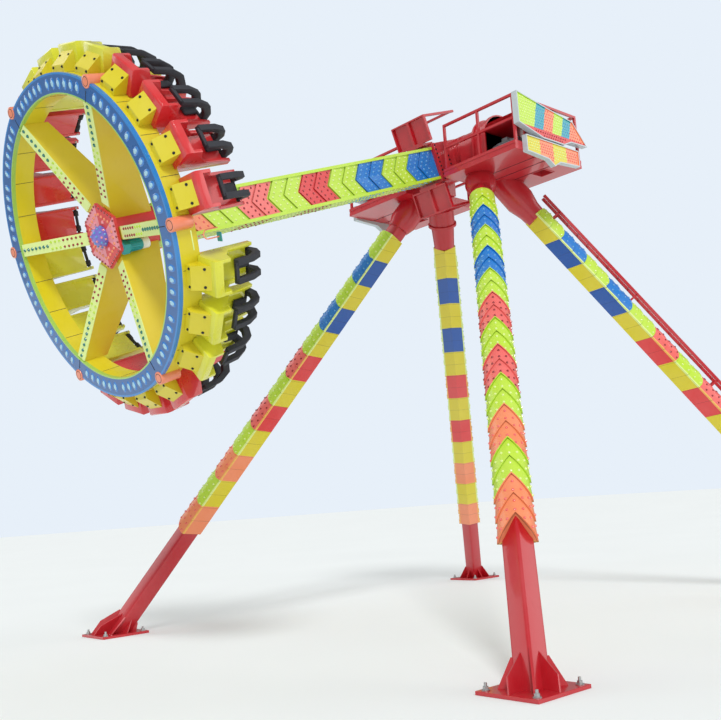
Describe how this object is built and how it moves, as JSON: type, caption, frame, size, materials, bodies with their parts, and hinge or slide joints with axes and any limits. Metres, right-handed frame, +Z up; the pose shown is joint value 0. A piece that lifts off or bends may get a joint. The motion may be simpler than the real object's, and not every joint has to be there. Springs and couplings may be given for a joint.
{
  "type": "hammer ride, pendulum type",
  "caption": "Hammer ride: A-frames carry an axle and a swinging arm that ends in a turning ring of outward-facing seats with lifting shoulder restraints.",
  "frame": {"origin": "on the ground, under the middle of the swing axle, at the centre of the four feet", "axes": "+Z up, +Y along the swing axle from the front frame to the rear frame, +X in the plane of the swing; the arm rests swung out to -X"},
  "size_m": [14.5568, 11.56, 10.0559],
  "materials": {
    "red_steel": "red gloss paint on welded steel",
    "leg_cladding": "coloured light-box panels",
    "arm_cladding": "steel box beam dressed with coloured light-box panels",
    "yellow_steel": "yellow gloss paint on steel",
    "blue_ring": "blue gloss lamp ring",
    "lamp_cover": "tinted lamp dome",
    "orange_plastic": "orange gel-coated moulding",
    "yellow_plastic": "yellow gel-coated moulding",
    "red_plastic": "red gel-coated moulding",
    "lime_plastic": "lime yellow gel-coated moulding",
    "dark_foam": "dark integral-skin foam",
    "light_box": "light box with a white rim",
    "grey_casting": "grey painted casting",
    "teal_casting": "teal painted motor"
  },
  "bodies": {
    "frame": {"bearing_front": "red_steel", "bearing_rear": "red_steel", "cladding_front_left": "leg_cladding", "cladding_front_right": "leg_cladding", "cladding_rear_left": "leg_cladding", "cladding_rear_right": "leg_cladding", "deck_front": "red_steel", "deck_rear": "red_steel", "drive_housing_front": "red_steel", "drive_housing_rear": "red_steel", "drive_motors": "grey_casting", "leg_front_left": "red_steel", "leg_front_right": "red_steel", "leg_ladder": "red_steel", "leg_rear_left": "red_steel", "leg_rear_right": "red_steel", "lower_signs": "light_box", "motor_canopies": "red_steel", "railing_front": "red_steel", "railing_rear": "red_steel", "upper_signs": "light_box"},
    "arm": {"arm_head": "red_steel", "arm_beam": "arm_cladding", "walkways": "red_steel"},
    "gondola": {"gondola_hub": "red_steel", "lamp_dome": "lamp_cover", "slew_motor": "teal_casting", "spokes": "yellow_steel", "drum": "yellow_steel", "light_ring": "blue_ring", "joint_tubes": "orange_plastic", "joint_panel": "lime_plastic", "seat_pedestals": "yellow_plastic", "red_seats": "red_plastic", "yellow_seats": "lime_plastic"},
    "restraint_01": {"restraint_01": "dark_foam"},
    "restraint_02": {"restraint_02": "dark_foam"},
    "restraint_03": {"restraint_03": "dark_foam"},
    "restraint_04": {"restraint_04": "dark_foam"},
    "restraint_05": {"restraint_05": "dark_foam"},
    "restraint_06": {"restraint_06": "dark_foam"},
    "restraint_07": {"restraint_07": "dark_foam"},
    "restraint_08": {"restraint_08": "dark_foam"},
    "restraint_09": {"restraint_09": "dark_foam"},
    "restraint_10": {"restraint_10": "dark_foam"},
    "restraint_11": {"restraint_11": "dark_foam"},
    "restraint_12": {"restraint_12": "dark_foam"},
    "restraint_13": {"restraint_13": "dark_foam"},
    "restraint_14": {"restraint_14": "dark_foam"},
    "restraint_15": {"restraint_15": "dark_foam"},
    "restraint_16": {"restraint_16": "dark_foam"},
    "restraint_17": {"restraint_17": "dark_foam"},
    "restraint_18": {"restraint_18": "dark_foam"},
    "restraint_19": {"restraint_19": "dark_foam"},
    "restraint_20": {"restraint_20": "dark_foam"},
    "restraint_21": {"restraint_21": "dark_foam"},
    "restraint_22": {"restraint_22": "dark_foam"},
    "restraint_23": {"restraint_23": "dark_foam"}
  },
  "joints": [
    {"name": "arm_swing", "type": "hinge", "parent": "frame", "child": "arm", "pos_m": [0, 0, 9.2], "axis": [0, 1, 0], "range_deg": [-190, 50]},
    {"name": "gondola_spin", "type": "hinge", "parent": "arm", "child": "gondola", "pos_m": [-8.14714, 0, 6.23468], "axis": [0.9397, 0, 0.342], "continuous": true},
    {"name": "restraint_01_lift", "type": "hinge", "parent": "gondola", "child": "restraint_01", "pos_m": [-7.72823, -1.24093, 8.50461], "axis": [-0.181, 0.8485, 0.4973], "range_deg": [0, 70]},
    {"name": "restraint_02_lift", "type": "hinge", "parent": "gondola", "child": "restraint_02", "pos_m": [-7.81489, -0.68365, 8.7427], "axis": [-0.0997, 0.9566, 0.274], "range_deg": [0, 70]},
    {"name": "restraint_03_lift", "type": "hinge", "parent": "gondola", "child": "restraint_03", "pos_m": [-7.84927, -0.07979, 8.83715], "axis": [-0.0116, 0.9994, 0.032], "range_deg": [0, 70]},
    {"name": "restraint_04_lift", "type": "hinge", "parent": "gondola", "child": "restraint_04", "pos_m": [-7.82902, 0.5295, 8.78152], "axis": [0.0772, 0.9742, -0.2122], "range_deg": [0, 70]},
    {"name": "restraint_05_lift", "type": "hinge", "parent": "gondola", "child": "restraint_05", "pos_m": [-7.75552, 1.10272, 8.57959], "axis": [0.1608, 0.8825, -0.4419], "range_deg": [0, 70]},
    {"name": "restraint_06_lift", "type": "hinge", "parent": "gondola", "child": "restraint_06", "pos_m": [-7.63379, 1.60078, 8.24513], "axis": [0.2335, 0.7308, -0.6415], "range_deg": [0, 70]},
    {"name": "restraint_07_lift", "type": "hinge", "parent": "gondola", "child": "restraint_07", "pos_m": [-7.47212, 1.98976, 7.80094], "axis": [0.2902, 0.5292, -0.7973], "range_deg": [0, 70]},
    {"name": "restraint_08_lift", "type": "hinge", "parent": "gondola", "child": "restraint_08", "pos_m": [-7.28152, 2.24313, 7.27727], "axis": [0.3272, 0.2915, -0.8989], "range_deg": [0, 70]},
    {"name": "restraint_09_lift", "type": "hinge", "parent": "gondola", "child": "restraint_09", "pos_m": [-7.07499, 2.34364, 6.70983], "axis": [0.3418, 0.034, -0.9391], "range_deg": [0, 70]},
    {"name": "restraint_10_lift", "type": "hinge", "parent": "gondola", "child": "restraint_10", "pos_m": [-6.86659, 2.28444, 6.13728], "axis": [0.3332, -0.2258, -0.9154], "range_deg": [0, 70]},
    {"name": "restraint_11_lift", "type": "hinge", "parent": "gondola", "child": "restraint_11", "pos_m": [-6.67054, 2.06955, 5.59863], "axis": [0.3018, -0.4702, -0.8293], "range_deg": [0, 70]},
    {"name": "restraint_12_lift", "type": "hinge", "parent": "gondola", "child": "restraint_12", "pos_m": [-6.50019, 1.71363, 5.13061], "axis": [0.2499, -0.6826, -0.6867], "range_deg": [0, 70]},
    {"name": "restraint_13_lift", "type": "hinge", "parent": "gondola", "child": "restraint_13", "pos_m": [-6.36716, 1.24093, 4.76509], "axis": [0.181, -0.8485, -0.4973], "range_deg": [0, 70]},
    {"name": "restraint_14_lift", "type": "hinge", "parent": "gondola", "child": "restraint_14", "pos_m": [-6.2805, 0.68365, 4.52699], "axis": [0.0997, -0.9566, -0.274], "range_deg": [0, 70]},
    {"name": "restraint_15_lift", "type": "hinge", "parent": "gondola", "child": "restraint_15", "pos_m": [-6.24612, 0.07979, 4.43255], "axis": [0.0116, -0.9994, -0.032], "range_deg": [0, 70]},
    {"name": "restraint_16_lift", "type": "hinge", "parent": "gondola", "child": "restraint_16", "pos_m": [-6.26637, -0.5295, 4.48818], "axis": [-0.0772, -0.9742, 0.2122], "range_deg": [0, 70]},
    {"name": "restraint_17_lift", "type": "hinge", "parent": "gondola", "child": "restraint_17", "pos_m": [-6.37927, -1.296, 4.79838], "axis": [-0.189, -0.8334, 0.5193], "range_deg": [0, 70]},
    {"name": "restraint_18_lift", "type": "hinge", "parent": "gondola", "child": "restraint_18", "pos_m": [-6.51677, -1.75766, 5.17615], "axis": [-0.2564, -0.662, 0.7043], "range_deg": [0, 70]},
    {"name": "restraint_19_lift", "type": "hinge", "parent": "gondola", "child": "restraint_19", "pos_m": [-6.69045, -2.09953, 5.65334], "axis": [-0.3062, -0.4454, 0.8413], "range_deg": [0, 70]},
    {"name": "restraint_20_lift", "type": "hinge", "parent": "gondola", "child": "restraint_20", "pos_m": [-7.0204, -2.34364, 6.55987], "axis": [-0.3418, -0.034, 0.9391], "range_deg": [0, 70]},
    {"name": "restraint_21_lift", "type": "hinge", "parent": "gondola", "child": "restraint_21", "pos_m": [-7.2288, -2.28444, 7.13242], "axis": [-0.3332, 0.2258, 0.9154], "range_deg": [0, 70]},
    {"name": "restraint_22_lift", "type": "hinge", "parent": "gondola", "child": "restraint_22", "pos_m": [-7.42485, -2.06955, 7.67106], "axis": [-0.3018, 0.4702, 0.8293], "range_deg": [0, 70]},
    {"name": "restraint_23_lift", "type": "hinge", "parent": "gondola", "child": "restraint_23", "pos_m": [-7.59519, -1.71363, 8.13909], "axis": [-0.2499, 0.6826, 0.6867], "range_deg": [0, 70]}
  ],
  "couplings": [
    {"joint": "restraint_02_lift", "follows": "restraint_01_lift", "ratio": 1},
    {"joint": "restraint_03_lift", "follows": "restraint_01_lift", "ratio": 1},
    {"joint": "restraint_04_lift", "follows": "restraint_01_lift", "ratio": 1},
    {"joint": "restraint_05_lift", "follows": "restraint_01_lift", "ratio": 1},
    {"joint": "restraint_06_lift", "follows": "restraint_01_lift", "ratio": 1},
    {"joint": "restraint_07_lift", "follows": "restraint_01_lift", "ratio": 1},
    {"joint": "restraint_08_lift", "follows": "restraint_01_lift", "ratio": 1},
    {"joint": "restraint_09_lift", "follows": "restraint_01_lift", "ratio": 1},
    {"joint": "restraint_10_lift", "follows": "restraint_01_lift", "ratio": 1},
    {"joint": "restraint_11_lift", "follows": "restraint_01_lift", "ratio": 1},
    {"joint": "restraint_12_lift", "follows": "restraint_01_lift", "ratio": 1},
    {"joint": "restraint_13_lift", "follows": "restraint_01_lift", "ratio": 1},
    {"joint": "restraint_14_lift", "follows": "restraint_01_lift", "ratio": 1},
    {"joint": "restraint_15_lift", "follows": "restraint_01_lift", "ratio": 1},
    {"joint": "restraint_16_lift", "follows": "restraint_01_lift", "ratio": 1},
    {"joint": "restraint_17_lift", "follows": "restraint_01_lift", "ratio": 1},
    {"joint": "restraint_18_lift", "follows": "restraint_01_lift", "ratio": 1},
    {"joint": "restraint_19_lift", "follows": "restraint_01_lift", "ratio": 1},
    {"joint": "restraint_20_lift", "follows": "restraint_01_lift", "ratio": 1},
    {"joint": "restraint_21_lift", "follows": "restraint_01_lift", "ratio": 1},
    {"joint": "restraint_22_lift", "follows": "restraint_01_lift", "ratio": 1},
    {"joint": "restraint_23_lift", "follows": "restraint_01_lift", "ratio": 1}
  ]
}
